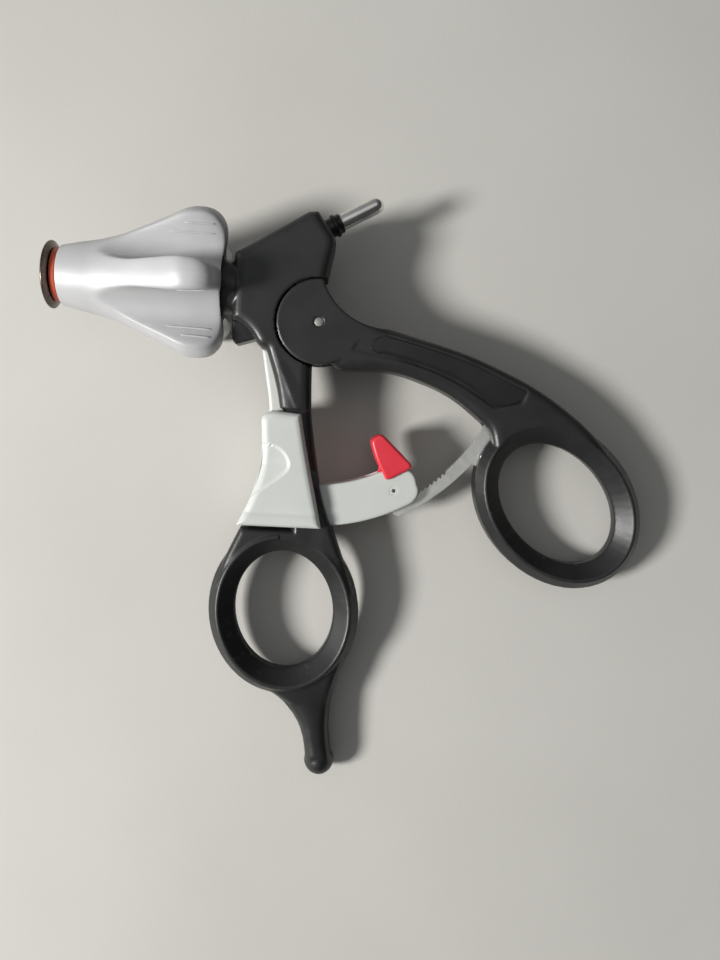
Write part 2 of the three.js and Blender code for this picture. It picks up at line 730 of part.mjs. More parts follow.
const springRadius = (SLEEVE_RADIUS + chamberRadius) / 2;
const springFront = KNOB_FRONT_X + KNOB_LIP_LENGTH + KNOB_TRAVEL + SPRING_WIRE + GAP;
const springBack = shoulderX - 1 - SPRING_WIRE - GAP;
const knobCoil = coil(springRadius, SPRING_WIRE, springFront, springBack, SPRING_TURNS);
add("knob_spring", alongX(knobCoil), brushedSteel);

const bush = sleeve([
  [SLEEVE_RADIUS + GAP, BUSH_END_X - BUSH_LENGTH],
  [SLEEVE_RADIUS + GAP + BUSH_WALL, BUSH_END_X - BUSH_LENGTH],
  [SLEEVE_RADIUS + GAP + BUSH_WALL, BUSH_END_X],
  [SLEEVE_RADIUS + GAP, BUSH_END_X],
]);
add("front_bush", bush, brushedSteel);
const clipInner = SLEEVE_RADIUS - CLIP_GROOVE_DEPTH + GAP / 2;
const clip = sleeve([
  [clipInner, grooveX - CLIP_THICKNESS],
  [SLEEVE_RADIUS + CLIP_RISE, grooveX - CLIP_THICKNESS],
  [SLEEVE_RADIUS + CLIP_RISE, grooveX],
  [clipInner, grooveX],
]);
add("sleeve_clip", clip, brushedSteel);

// ---------------------------------------------------------------- drive rod
function driveRod() {
  const eyeFrontX = drivePin[0] - 4.4;
  const neck = 2.4;
  const profile = [
    [0, ROD_FRONT_X],
    [ROD_BALL_RADIUS * 0.6, ROD_FRONT_X + 0.3],
    [ROD_BALL_RADIUS, ROD_FRONT_X + ROD_BALL_RADIUS],
    [ROD_BALL_RADIUS * 0.6, ROD_FRONT_X + 2 * ROD_BALL_RADIUS - 0.3],
    [1, ROD_FRONT_X + 2 * ROD_BALL_RADIUS],
    [1, ROD_FRONT_X + 2 * ROD_BALL_RADIUS + neck],
    [ROD_RADIUS, ROD_FRONT_X + 2 * ROD_BALL_RADIUS + neck],
    [ROD_RADIUS, eyeFrontX + 1],
    [0, eyeFrontX + 1],
  ];
  const half = ROD_EYE_HEIGHT / 2;
  const eye = outline([
    [eyeFrontX, AXIS_Y - half, 0.6],
    [drivePin[0] + DRIVE_PIN_RADIUS + 1.2, AXIS_Y - half, 0.6],
    [drivePin[0] + DRIVE_PIN_RADIUS + 1.2, AXIS_Y + half, 0.6],
    [eyeFrontX, AXIS_Y + half, 0.6],
  ]);
  const wide = DRIVE_PIN_RADIUS + DRIVE_PIN_SLACK;
  const slot = block(drivePin[0] - wide, drivePin[0] + wide, AXIS_Y - half + 1, AXIS_Y + half - 1, REACH);
  const blank = join(solid(alongX(turned(profile, 20))), solid(plate(eye, -ROD_EYE_HALF, ROD_EYE_HALF, 2)));
  return cut(blank, solid(slot));
}
add("drive_rod", driveRod(), polishedSteel);

// ---------------------------------------------------------------- connector
const collarEnd = PIN_OUTSIDE + COLLAR_OUTSIDE;
const pinProfile = [
  [0, 0],
  [PIN_RADIUS * 0.5, 0.3],
  [PIN_RADIUS * 0.87, 1],
  [PIN_RADIUS, 2],
  [PIN_RADIUS, PIN_OUTSIDE],
  [PIN_RADIUS - 0.6, PIN_OUTSIDE],
  [PIN_RADIUS - 0.6, collarEnd + COLLAR_INSIDE + PIN_INSIDE / 2],
  [0, collarEnd + COLLAR_INSIDE + PIN_INSIDE / 2],
];
add("hf_pin", onPinAxis(pinProfile, 28), polishedSteel);
const collarBore = PIN_RADIUS - 0.6 + GAP;
const collarProfile = [
  [collarBore, PIN_OUTSIDE + GAP],
  [COLLAR_RADIUS, PIN_OUTSIDE + GAP],
  [COLLAR_RADIUS, PIN_OUTSIDE + 1.6],
  [COLLAR_STEP_RADIUS, PIN_OUTSIDE + 1.6],
  [COLLAR_STEP_RADIUS, collarEnd - GAP],
  [COLLAR_RADIUS, collarEnd - GAP],
  [COLLAR_RADIUS, collarEnd + COLLAR_INSIDE],
  [collarBore, collarEnd + COLLAR_INSIDE],
];
add("hf_collar", onPinAxis([...collarProfile, collarProfile[0]], 28), blackPlastic);

const contactShape = outline([
  [-10.8, AXIS_Y + ROD_RADIUS + GAP],
  [-9.4, AXIS_Y + ROD_RADIUS + GAP],
  [-8.2, 14.8, 1],
  [-8.2, 16.6],
  [-8.2 - CONTACT_THICKNESS, 16.6],
  [-8.2 - CONTACT_THICKNESS, 14.8, 1],
  [-9.6, AXIS_Y + ROD_RADIUS + GAP + CONTACT_THICKNESS],
  [-10.8, AXIS_Y + ROD_RADIUS + GAP + CONTACT_THICKNESS],
]);
add("hf_contact", plate(contactShape, -CONTACT_HALF, CONTACT_HALF, 2), brushedSteel);

// ---------------------------------------------------------------- ratchet
function ratchetHousing() {
  const blank = solid(slab(housingShape(0), HOUSING_HALF, 0.6, 0.6, 12, 2));
  const slot = sector(HOUSING_INNER + HOUSING_WEB, REACH / 2, -85.5, -20);
  const entry = sector(HOUSING_INNER + HOUSING_ROOF, REACH / 2, -100, -85);
  const mouth = sector(REACH / 8, REACH / 2, -70, -20);
  return cut(
    blank,
    solid(plate(slot, -HOUSING_SLOT_HALF, HOUSING_SLOT_HALF, 12)),
    solid(plate(entry, -HOUSING_SLOT_HALF, HOUSING_SLOT_HALF, 6)),
    solid(plate(mouth, -HOUSING_SLOT_HALF, HOUSING_SLOT_HALF, 12)),
    solid(plate(rackShape(2 * GAP), -RACK_HALF - GAP, RACK_HALF + GAP, 16)),
    solid(cylinder(PAWL_PIN_RADIUS + GAP, REACH, PAWL_PIVOT, 16)),
    solid(cylinder(PAWL_PIN_RADIUS + GAP, REACH, housingPinPlace, 12)),
  );
}
add("ratchet_housing", ratchetHousing(), lightPlastic);
add("housing_pin", cylinder(PAWL_PIN_RADIUS, SPINE_HALF - 0.8, housingPinPlace, 12), brushedSteel);
add("pawl_pin", cylinder(PAWL_PIN_RADIUS, HOUSING_HALF + 0.05, PAWL_PIVOT, 16), brushedSteel);

// The teeth point back along the arc, so the rack slides in and is held against sliding out.
function rackOutline() {
  const shape = new THREE.Shape();
  shape.absarc(0, 0, RACK_OUTER, radians(RACK_TIP), radians(FOOT_ANGLES[0]), false);
  shape.absarc(0, 0, FOOT_OUTER, radians(FOOT_ANGLES[0] + 0.6), radians(FOOT_ANGLES[1]), false);
  shape.absarc(0, 0, RACK_INNER, radians(FOOT_ANGLES[1]), radians(RACK_TIP + RACK_TEETH * TOOTH_PITCH), true);
  for (let tooth = RACK_TEETH; tooth > 0; tooth -= 1) {
    const foot = RACK_TIP + (tooth - 1) * TOOTH_PITCH;
    shape.lineTo(...polar(RACK_INNER + TOOTH_DEPTH, foot + 0.15 * TOOTH_PITCH));
    shape.lineTo(...polar(RACK_INNER, foot));
  }
  shape.lineTo(...polar(RACK_OUTER - 1, RACK_TIP - 1));
  return shape;
}
const rackPinHoles = RACK_PIN_ANGLES.map((angle) =>
  solid(cylinder(RACK_PIN_RADIUS + GAP, REACH, polar(RACK_PIN_ORBIT, angle), 12)),
);
const rackBlank = solid(plate(rackOutline(), -RACK_HALF, RACK_HALF, 12));
add("ratchet_rack", cut(rackBlank, ...rackPinHoles), brushedSteel);
RACK_PIN_ANGLES.forEach((angle, i) => {
  const pin = cylinder(RACK_PIN_RADIUS, RACK_PIN_HALF, polar(RACK_PIN_ORBIT, angle), 12);
  add(`rack_pin_${i + 1}`, pin, brushedSteel);
});

function pawl() {
  const top = 45.2;
  const nose = RACK_INNER - GAP - 0.1;
  const shape = outline([
    [...polar(top, -83)],
    [...polar(top, -72), 2],
    [...polar(top, -63)],
    [...polar(top + 2.2, -63)],
    [...polar(top + 2.2, -70.4)],
    [...polar(nose, -70.8)],
    [...polar(top + 1.8, -73.4)],
    [...polar(top + 1.4, -83)],
  ]);
  const blank = join(
    solid(plate(shape, -PAWL_HALF, PAWL_HALF)),
    solid(cylinder(PAWL_EYE_RADIUS, PAWL_HALF, PAWL_PIVOT, 20)),
  );
  return cut(blank, solid(cylinder(PAWL_PIN_RADIUS + GAP, REACH, PAWL_PIVOT, 16)));
}
add("pawl", pawl(), brushedSteel);
add("pawl_spring", plate(sector(42.5, 42.9, -84, -74), -0.5, 0.5, 6), brushedSteel);

// The red head sits astride the housing's top edge, on two legs that hold the pawl's pin.
function ratchetSwitch() {
  const head = outline([
    [14.7, -28.2, 1.2],
    [17.3, -26.1, 1.4],
    [26.4, -34.3, 1.9],
    [19.3, -38.4, 1.2],
    [16.2, -32.6, 2],
  ]);
  const legShape = outline([
    [17.2, -36.6],
    [18, -33.6],
    [23, -35.4],
    [23.4, -40.6, 0.6],
    [21.8, -42.6, 0.8],
    [19.2, -41.2, 0.8],
  ]);
  const over = sector(HOUSING_INNER - 2 * GAP, REACH / 2, -100, 0);
  const room = plate(over, -HOUSING_HALF - GAP, HOUSING_HALF + GAP, 24);
  const swung = room.clone().translate(-PAWL_PIVOT[0], -PAWL_PIVOT[1], 0);
  swung.rotateZ(-radians(SWITCH_SWING)).translate(...PAWL_PIVOT, 0);
  const leg = (low, high) => solid(plate(legShape, low, high, 2));
  const [near, far] = SWITCH_LEG;
  const cap = cut(solid(slab(head, SWITCH_HALF, 0.6, 0.8, 4, 2)), solid(room), solid(swung));
  const pinHole = solid(cylinder(PAWL_PIN_RADIUS + GAP, REACH, PAWL_PIVOT, 16));
  return cut(join(cap, leg(near, far), leg(-far, -near)), pinHole);
}
add("ratchet_switch", ratchetSwitch(), redPlastic);

// ---------------------------------------------------------------- trigger
function releaseTrigger() {
  const padShape = outline([
    [-12.9, PAD_TOP_Y - 2, 1.5],
    [-10, PAD_TOP_Y - 0.5, 1.6],
    [-3, PAD_TOP_Y - 1],
    [-1.8, -28.5, 3],
    [-0.1, -36, 4],
    [3.6, -51.2],
    [-17.8, -51.4],
    [-14.4, -44, 4],
    [-12, -35, 5],
  ]);
  const slotShape = outline([
    [-10.4, PAD_TOP_Y + 5],
    [REACH, PAD_TOP_Y + 5],
    [REACH, -60],
    [-15, -60],
    [-14.6, -49.6],
    [-12.4, -44, 3],
    [-10.1, -35, 4],
  ]);
  const leverShape = outline([
    [-13.9, -7.1],
    [-8, -7.1, 1.4],
    [-7.4, -13, 2],
    [-6.2, -24, 4],
    [-5.4, -34, 3],
    [-5.1, -43.9, 0.8],
    [-1, -44.7],
    [2.7, -45.9],
    [4.9, -47.3],
    [4.2, -47.9],
    [-13.6, -46.6],
    [-11.2, -35, 5],
    [-11.1, -21.5, 4],
  ]);
  const pad = cut(
    solid(slab(padShape, PAD_HALF, 1.7, 1.7)),
    solid(plate(slotShape, -PAD_SLOT_HALF, PAD_SLOT_HALF)),
  );
  const lever = cut(
    solid(slab(leverShape, LEVER_HALF, 0.5, 0.5, 4, 1)),
    solid(cylinder(TRIGGER_PIN_RADIUS + GAP, REACH, TRIGGER_PIVOT, 16)),
  );
  return join(pad, lever);
}
add("release_trigger", releaseTrigger(), lightPlastic);
add("trigger_pin", cylinder(TRIGGER_PIN_RADIUS, TRIGGER_PIN_HALF, TRIGGER_PIVOT, 16), brushedSteel);
const leafShape = outline([
  [-5.2, -11.5],
  [-4.9, -11.5],
  [-4.6, -22],
  [-4.9, -22],
]);
add("trigger_spring", plate(leafShape, -1.2, 1.2), brushedSteel);

// ---------------------------------------------------------------- release button
const buttonAxisX = -17.6;
function releaseButton() {
  const shape = outline([
    [HEAD_FRONT_X, buttonTopY],
    [HEAD_FRONT_X, -5.2, 0.6],
    [-20.4, -6.6, 0.6],
    [-13.8, -4.4],
    [-13.8, buttonTopY],
  ]);
  const well = new THREE.CylinderGeometry(1.7, 1.7, 6, 16).translate(buttonAxisX, buttonTopY, 0);
  return cut(solid(slab(shape, BUTTON_HALF, 0.5, 0.5, 3, 2)), solid(well));
}
add("insert_release_button", releaseButton(), blackPlastic);
const buttonCoil = coil(1.1, 0.2, buttonTopY - 1.3, buttonTopY + BUTTON_TRAVEL, 3, 8, 4);
add("button_spring", buttonCoil.translate(buttonAxisX, 0, 0), brushedSteel);

// ---------------------------------------------------------------- lying on the table
// The knob's lowest lobe, the thumb ring and the finger ring's spur touch the table.
const lobeX = -28.4;
const lobeTip = flutedRadius(KNOB_LOBE_RADIUS, lobeStep / 2, lobeX);
const feet = [
  [lobeX, AXIS_Y - lobeTip * Math.sin(2 * lobeStep), lobeTip * Math.cos(2 * lobeStep)],
  [THUMB_RING.centre[0] + 5.5, THUMB_RING.centre[1] - 19, -RING_HALF],
  [SPUR_BALL.centre[0], SPUR_BALL.centre[1], -SPUR_BALL.radius],
].map((foot) => new THREE.Vector3(...foot));
const up = new THREE.Plane().setFromCoplanarPoints(...feet).normal;
if (up.z < 0) up.negate();
const forward = new THREE.Vector3(1, 0, 0).projectOnPlane(up).normalize();
const side = up.clone().cross(forward);
handle.applyMatrix4(new THREE.Matrix4().makeBasis(forward, side, up).transpose());
handle.updateMatrixWorld(true);
const box = new THREE.Box3().setFromObject(handle, true);
const middle = box.getCenter(new THREE.Vector3());
handle.position.sub(new THREE.Vector3(middle.x, middle.y, box.min.z));

const part = new THREE.Group();
part.add(handle);
export default part;
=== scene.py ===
"""A ratcheted ring handle for a rod-driven hand instrument, lying on a pale table."""

import json
import math

import bmesh
import bpy
from mathutils import Matrix, Vector


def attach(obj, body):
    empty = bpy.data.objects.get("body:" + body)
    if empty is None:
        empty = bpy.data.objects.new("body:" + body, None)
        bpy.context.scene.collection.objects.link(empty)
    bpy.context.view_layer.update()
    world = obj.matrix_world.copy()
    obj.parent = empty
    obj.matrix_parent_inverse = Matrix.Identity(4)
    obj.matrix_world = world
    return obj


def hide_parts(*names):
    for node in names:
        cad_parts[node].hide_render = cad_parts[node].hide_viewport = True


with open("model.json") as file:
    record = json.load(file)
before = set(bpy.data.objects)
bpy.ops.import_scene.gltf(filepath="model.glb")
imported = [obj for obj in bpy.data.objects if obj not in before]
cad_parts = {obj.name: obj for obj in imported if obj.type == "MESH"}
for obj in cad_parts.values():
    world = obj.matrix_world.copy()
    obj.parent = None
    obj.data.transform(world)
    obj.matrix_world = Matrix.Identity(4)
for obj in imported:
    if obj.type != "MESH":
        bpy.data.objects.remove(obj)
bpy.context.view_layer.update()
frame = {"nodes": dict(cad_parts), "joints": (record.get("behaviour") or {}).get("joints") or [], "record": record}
nodes = frame["nodes"]
joints = {joint["name"]: joint for joint in frame["joints"]}

# ---------------------------------------------------------------- the handle's own frame
# Local millimetres: x back along the knob, y up the handle, z out of the near side, from the pivot.
side = Vector(joints["arm_pivot"]["axis"]).normalized()
back = Vector(joints["knob_spin"]["axis"]).normalized()
across = side.cross(back).normalized()
pivot = Vector(joints["arm_pivot"]["pos_m"])
MM = 0.001
TURN = Matrix((back, across, side)).transposed().to_4x4()
TO_ROW = Matrix.Translation(pivot) @ TURN @ Matrix.Scale(MM, 4)
TO_LOCAL = TO_ROW.inverted()
AXIS_Y = (TO_LOCAL @ Vector(joints["knob_spin"]["pos_m"])).y


def place(x, y, z=0.0):
    return TO_ROW @ Vector((x, y, z))


def direction(x, y, z):
    return (TURN @ Vector((x, y, z, 0.0))).xyz.normalized()


# ---------------------------------------------------------------- materials
class Nodes:
    """Short names for building a shader tree."""

    def __init__(self, name):
        self.material = bpy.data.materials.new(name)
        self.material.use_nodes = True
        self.tree = self.material.node_tree
        self.shader = self.tree.nodes["Principled BSDF"]
        self.coords = self.tree.nodes.new("ShaderNodeTexCoord").outputs["Object"]

    def node(self, kind, **values):
        made = self.tree.nodes.new("ShaderNode" + kind)
        for key, value in values.items():
            if hasattr(made, key):
                setattr(made, key, value)
            else:
                made.inputs[key.replace("_", " ")].default_value = value
        return made

    def link(self, source, target):
        self.tree.links.new(source, target)

    def noise(self, per_mm, detail=2.0, stretch=(1, 1, 1), roughness=0.5):
        mapping = self.node("Mapping")
        self.link(self.coords, mapping.inputs["Vector"])
        mapping.inputs["Scale"].default_value = [1000 * per_mm * s for s in stretch]
        made = self.node("TexNoise", Scale=1.0, Detail=detail, Roughness=roughness)
        self.link(mapping.outputs["Vector"], made.inputs["Vector"])
        return made.outputs["Fac"]

    def ramp(self, source, low, high, span=(0.35, 0.65)):
        made = self.node("MapRange")
        made.inputs["From Min"].default_value, made.inputs["From Max"].default_value = span
        made.inputs["To Min"].default_value, made.inputs["To Max"].default_value = low, high
        self.link(source, made.inputs["Value"])
        return made.outputs["Result"]

    def times(self, first, second):
        made = self.node("Math", operation="MULTIPLY")
        self.link(first, made.inputs[0])
        self.link(second, made.inputs[1])
        return made.outputs["Value"]

    def blend(self, factor, first, second):
        """Mixes two colours, each a triple or another node's output."""
        made = self.node("MixRGB")
        for socket, value in (("Color1", first), ("Color2", second)):
            if isinstance(value, tuple):
                made.inputs[socket].default_value = (*value, 1)
            else:
                self.link(value, made.inputs[socket])
        self.link(factor, made.inputs["Fac"])
        return made.outputs["Color"]

    def bump(self, height, distance_mm, strength=1.0, under=None):
        made = self.node("Bump", Strength=strength, Distance=distance_mm * MM)
        self.link(height, made.inputs["Height"])
        if under is not None:
            self.link(under, made.inputs["Normal"])
        return made.outputs["Normal"]

    def color(self, socket):
        self.link(socket, self.shader.inputs["Base Color"])

    def rough(self, socket):
        self.link(socket, self.shader.inputs["Roughness"])

    def normal(self, socket):
        self.link(socket, self.shader.inputs["Normal"])


def moulded(name, color, worn, roughness, grain_mm, specular=0.5, metallic=0.0, edge=1.5):
    """Moulded plastic: fine grain, slight mottling, edges lightened partly as rubbed wear and partly as painted
    highlight, and handling marks in its gloss.
    """
    n = Nodes(name)
    n.shader.inputs["Specular IOR Level"].default_value = specular
    n.shader.inputs["Metallic"].default_value = metallic
    mottled = n.blend(n.ramp(n.noise(0.12, 3), 0, 1, (0.3, 0.7)), color, worn)
    # Edges are lightened by pointiness: partly rubbed wear, partly a painted highlight along them.
    edge_wear_and_highlight = tuple(min(channel * edge, 0.8) for channel in worn)
    pointed = n.ramp(n.node("NewGeometry").outputs["Pointiness"], 0, 1, (0.51, 0.6))
    broken = n.ramp(n.noise(0.6, 4, roughness=0.6), 0.2, 1, (0.4, 0.6))
    n.color(n.blend(n.times(pointed, broken), mottled, edge_wear_and_highlight))
    marks = n.noise(0.09, 4, roughness=0.6)
    n.rough(n.ramp(marks, roughness - 0.05, roughness + 0.07))
    fine = n.bump(n.noise(4.5, 2), grain_mm)
    n.normal(n.bump(n.noise(0.35, 2), 0.02, 1.0, fine))
    return n.material


def metal(name, color, worn, roughness, stretch=(1, 1, 1), grain_mm=0.004):
    """Turned, stamped or brushed metal: fine lines and a little unevenness in its polish."""
    n = Nodes(name)
    n.shader.inputs["Metallic"].default_value = 1.0
    n.color(n.blend(n.ramp(n.noise(0.5, 3), 0, 1), color, worn))
    lines = n.noise(3.0, 3, stretch)
    n.rough(n.ramp(lines, roughness * 0.8, roughness * 1.25))
    n.normal(n.bump(lines, grain_mm))
    return n.material


# The dark plastic's edges are lightened strongly: partly wear, partly a painted edge highlight.
DARK = moulded(
    "dark_plastic", (0.013, 0.0135, 0.0135), (0.020, 0.0205, 0.0205), 0.37, grain_mm=0.024, edge=2.6
)
BLACK = moulded("black_plastic", (0.008, 0.008, 0.009), (0.014, 0.014, 0.015), 0.34, grain_mm=0.008)
PANEL = moulded("panel_plastic", (0.008, 0.0083, 0.0083), (0.012, 0.0123, 0.0123), 0.24, grain_mm=0.004)
LIGHT = moulded(
    "light_plastic", (0.58, 0.605, 0.575), (0.62, 0.645, 0.61), 0.42, grain_mm=0.006, edge=1.1
)
RED = moulded("red_plastic", (0.70, 0.034, 0.055), (0.75, 0.045, 0.065), 0.28, grain_mm=0.004, edge=1.15)
ORANGE = moulded("orange_plastic", (0.62, 0.085, 0.04), (0.68, 0.11, 0.05), 0.4, grain_mm=0.004, edge=1.1)
SILVER = moulded(
    "silver_plastic",
    (0.50, 0.502, 0.51),
    (0.54, 0.542, 0.55),
    0.46,
    grain_mm=0.010,
    specular=0.4,
    metallic=0.1,
    edge=1.1,
)
BRONZE = metal("bronze_metal", (0.10, 0.082, 0.068), (0.15, 0.12, 0.10), 0.30)
POLISHED = metal("polished_steel", (0.90, 0.89, 0.86), (0.84, 0.83, 0.80), 0.2)
RIVET = metal("rivet_steel", (0.38, 0.38, 0.36), (0.30, 0.30, 0.29), 0.6, grain_mm=0.01)
DULL = metal("dull_steel", (0.20, 0.20, 0.19), (0.15, 0.15, 0.14), 0.6, grain_mm=0.01)
BRUSHED = metal("brushed_steel", (0.86, 0.86, 0.82), (0.76, 0.76, 0.73), 0.5, stretch=(1, 6, 1))

SLOT_MATERIALS = {
    "dark_plastic": DARK,
    "black_plastic": BLACK,
    "light_plastic": LIGHT,
    "red_plastic": RED,
    "orange_plastic": ORANGE,
    "silver_plastic": SILVER,
    "bronze_metal": BRONZE,
    "polished_steel": POLISHED,
    "brushed_steel": BRUSHED,
}
slot_of = {part["node"]: part["material_slot"] for part in frame["record"]["subparts"]}
body_of = {node: body for body, names in frame["record"]["behaviour"]["bodies"].items() for node in names}
for node_name, node in nodes.items():
    node.data.materials.clear()
    node.data.materials.append(SLOT_MATERIALS[slot_of[node_name]])


# ---------------------------------------------------------------- making pieces
def mesh_object(name, mesh):
    made = bpy.data.objects.new(name, mesh)
    bpy.context.scene.collection.objects.link(made)
    return made


def applied(obj):
    """Bakes the object's modifiers into a new mesh."""
    graph = bpy.context.evaluated_depsgraph_get()
    mesh = bpy.data.meshes.new_from_object(obj.evaluated_get(graph), depsgraph=graph)
    obj.modifiers.clear()
    old = obj.data
    obj.data = mesh
    bpy.data.meshes.remove(old)
    return obj


SHARP_ANGLE = math.radians(38)  # steeper edges than this stay crisp


def finish_piece(obj, stands_for, material=None, body=None, slot=None):
    """Takes a piece from local millimetres to the row frame and ties it to its body."""
    first = stands_for[0] if stands_for else None
    obj.data.transform(TO_ROW)
    obj.data.polygons.foreach_set("use_smooth", [True] * len(obj.data.polygons))
    obj.data.set_sharp_from_angle(angle=SHARP_ANGLE)
    slot = slot or slot_of[first]
    obj.data.materials.clear()
    obj.data.materials.append(material or SLOT_MATERIALS[slot])
    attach(obj, body or body_of[first])
    if stands_for:
        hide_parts(*stands_for)
    return obj


def local_copy(node_name, name):
    mesh = nodes[node_name].data.copy()
    mesh.transform(TO_LOCAL)
    return mesh_object(name, mesh)


def softened(obj, voxel, rounds):
    """Remeshes a closed solid evenly and eases its edges, as a mould does."""
    remesh = obj.modifiers.new("even", "REMESH")
    remesh.mode = "VOXEL"
    remesh.voxel_size = voxel
    ease = obj.modifiers.new("ease", "SMOOTH")
    ease.factor = 0.5
    ease.iterations = rounds
    return applied(obj)


def grid_mesh(name, rows, around=False, along=False):
    """A mesh through rows of points, closed on itself either way."""
    bm = bmesh.new()
    verts = [[bm.verts.new(point) for point in row] for row in rows]
    for i in range(len(rows) if around else len(rows) - 1):
        a, b = verts[i], verts[(i + 1) % len(rows)]
        for j in range(len(a) if along else len(a) - 1):
            k = (j + 1) % len(a)
            bm.faces.new((a[j], a[k], b[k], b[j]))
    bmesh.ops.remove_doubles(bm, verts=bm.verts, dist=1e-5)
    bmesh.ops.recalc_face_normals(bm, faces=bm.faces)
    mesh = bpy.data.meshes.new(name)
    bm.to_mesh(mesh)
    bm.free()
    return mesh_object(name, mesh)


def lathe(name, profile, at=Matrix(), sides=96):
    """A turned piece about local x, then set in its place: profile points are (x, radius)."""
    rows = []
    for i in range(sides):
        angle = 2 * math.pi * i / sides
        rows.append([at @ Vector((x, r * math.sin(angle), r * math.cos(angle))) for x, r in profile])
    return grid_mesh(name, rows, True, True)


def smoothstep(value, low, high):
    t = min(max((value - low) / (high - low), 0.0), 1.0)
    return t * t * (3 - 2 * t)


def reshaped(obj, change):
    """Moves every vertex of a piece in local millimetres."""
    for vertex in obj.data.vertices:
        vertex.co = change(*vertex.co)
    return obj


def between(table, value):
    """Straight lines through (place, value) pairs."""
    for (x0, y0), (x1, y1) in zip(table, table[1:]):
        if x0 <= value <= x1:
            return y0 + (y1 - y0) * (value - x0) / (x1 - x0)
    return table[0][1] if value < table[0][0] else table[-1][1]


def spline(points, steps):
    """A smooth line through points, with steps between each pair."""
    out = []
    for i in range(len(points) - 1):
        p0 = Vector(points[max(i - 1, 0)])
        p1, p2 = Vector(points[i]), Vector(points[i + 1])
        p3 = Vector(points[min(i + 2, len(points) - 1)])
        for k in range(steps):
            t = k / steps
            bend = (p2 - p0) * t + (2 * p0 - 5 * p1 + 4 * p2 - p3) * t * t
            out.append(p1 + (bend + (3 * p1 - p0 - 3 * p2 + p3) * t**3) / 2)
    out.append(Vector(points[-1]))
    return out


# ---------------------------------------------------------------- moulded bodies
SPUR_MIDDLE = [(-118, 6.7), (-113.9, 6.6), (-104, 4.9), (-98, 2.8), (-92, -1.5)]
SPUR_HALF_WIDTH = [(-118, 4.2), (-113.9, 4.0), (-104, 3.9), (-98, 5.4), (-92, 11.0)]


def eased_handle(x, y, z):
    """Rounds the spur's section and levels the ridge beside the trigger's ledge."""
    if y < -92:
        aside = (x - between(SPUR_MIDDLE, y)) / between(SPUR_HALF_WIDTH, y)
        round_off = smoothstep(-y, 92, 99)
        z *= 1 - round_off * (1 - math.sqrt(max(1 - 0.6 * min(aside * aside, 1), 0)))
    if -60 < y < -51 and -7 < x < 7:
        top = 4.62 + 0.3 * smoothstep(x, 0, 7) + 0.3 * smoothstep(-y, 56, 60)
        z = math.copysign(min(abs(z), top), z)
    return x, y, z


handle = reshaped(softened(local_copy("handle_body", "handle_shell"), 0.3, 5), eased_handle)
finish_piece(handle, ["handle_body"])
finish_piece(softened(local_copy("thumb_arm", "thumb_arm_shell"), 0.3, 5), ["thumb_arm"])


HOUSING_TAIL_X = 0.8


def shortened_tail(x, y, z):
    """Keeps the housing's buried end inside the front arm."""
    return max(x, HOUSING_TAIL_X), y, z


housing = reshaped(softened(local_copy("ratchet_housing", "housing_shell"), 0.2, 4), shortened_tail)
finish_piece(housing, ["ratchet_housing"])
finish_piece(softened(local_copy("ratchet_switch", "switch_shell"), 0.2, 4), ["ratchet_switch"])

# The trigger's finger scallop: both faces step down in front of a curved line.
SCALLOP = [(-44.1, -14.3), (-41.4, -10.8), (-39.0, -7.7), (-37.0, -5.6), (-35.0, -5.1), (-32.6, -6.3)]
SCALLOP += [(-30.9, -8.6), (-30.2, -12.2), (-29.9, -16.0)]
SCALLOP = [(point.x, point.y) for point in spline(SCALLOP, 5)]
SCALLOP_STEP = 0.5
SCALLOP_EDGE = 0.7  # width of the eased step
SCALLOP_FALL = 0.09
FACE_INNER, FACE_OUTER = 5.5, 6.5  # only what lies this far from the middle plane moves
LIP_Y, LIP_DEPTH, LIP_WIDTH = -47.6, 0.3, 0.8


def scalloped(x, y, z):
    """Sinks the trigger's outer faces for the finger and along the lip above its foot."""
    if abs(z) < FACE_INNER:
        return x, y, z
    sunk = LIP_DEPTH * math.exp(-(((y - LIP_Y) / LIP_WIDTH) ** 2))
    if SCALLOP[0][0] < y < SCALLOP[-1][0] and x < between(SCALLOP, y):
        edge = [Vector((between(SCALLOP, y + k * 0.25), y + k * 0.25)) for k in range(-20, 21)]
        edge = [point for point in edge if SCALLOP[0][0] < point.y < SCALLOP[-1][0]]
        inside = min((point - Vector((x, y))).length for point in edge)
        sunk += SCALLOP_STEP * smoothstep(inside, 0, SCALLOP_EDGE) + SCALLOP_FALL * inside
    return x, y, z - math.copysign(sunk * smoothstep(abs(z), FACE_INNER, FACE_OUTER), z)


trigger = reshaped(softened(local_copy("release_trigger", "trigger_shell"), 0.22, 5), scalloped)
finish_piece(trigger, ["release_trigger"])

# ---------------------------------------------------------------- knob
KNOB_FRONT, KNOB_REAR = -63.5, -24.3
LOBES = 5
LOBE_ANGLE = 2 * math.pi / LOBES
VALLEY_SET_BACK = 2.8  # how far the valleys' rear edge lies in front of the lobes'
FLUTE_RADIUS = 5.2
FLUTES_START = 8.2  # no crest below this radius is fluted
BISECTIONS = 18
KNOB_CREST = [(-63.5, 6.9), (-63.35, 7.2), (-62.9, 7.4), (-59, 8.3), (-54, 9.3), (-48.5, 11.0)]
KNOB_CREST += [(-43, 13.4), (-37.5, 16.0), (-33, 18.2), (-29.8, 18.8), (-27.2, 18.65), (-25.1, 17.7)]
KNOB_CREST += [(-23.6, 15.8), (-23.15, 13.4), (-23.5, 11.6), (-24.1, 9.9), (-24.3, 9.0), (-24.3, 7.95)]
KNOB_BORE = [(-27.1, 7.9), (-27.1, 6.3), (-60.9, 6.3), (-60.9, 5.1), (-63.5, 5.1)]


def flute_at(x):
    share = (x - KNOB_FRONT) / (KNOB_REAR - KNOB_FRONT)
    return 10.0 - 1.6 * share, 0.15 + 2.4 * share**3


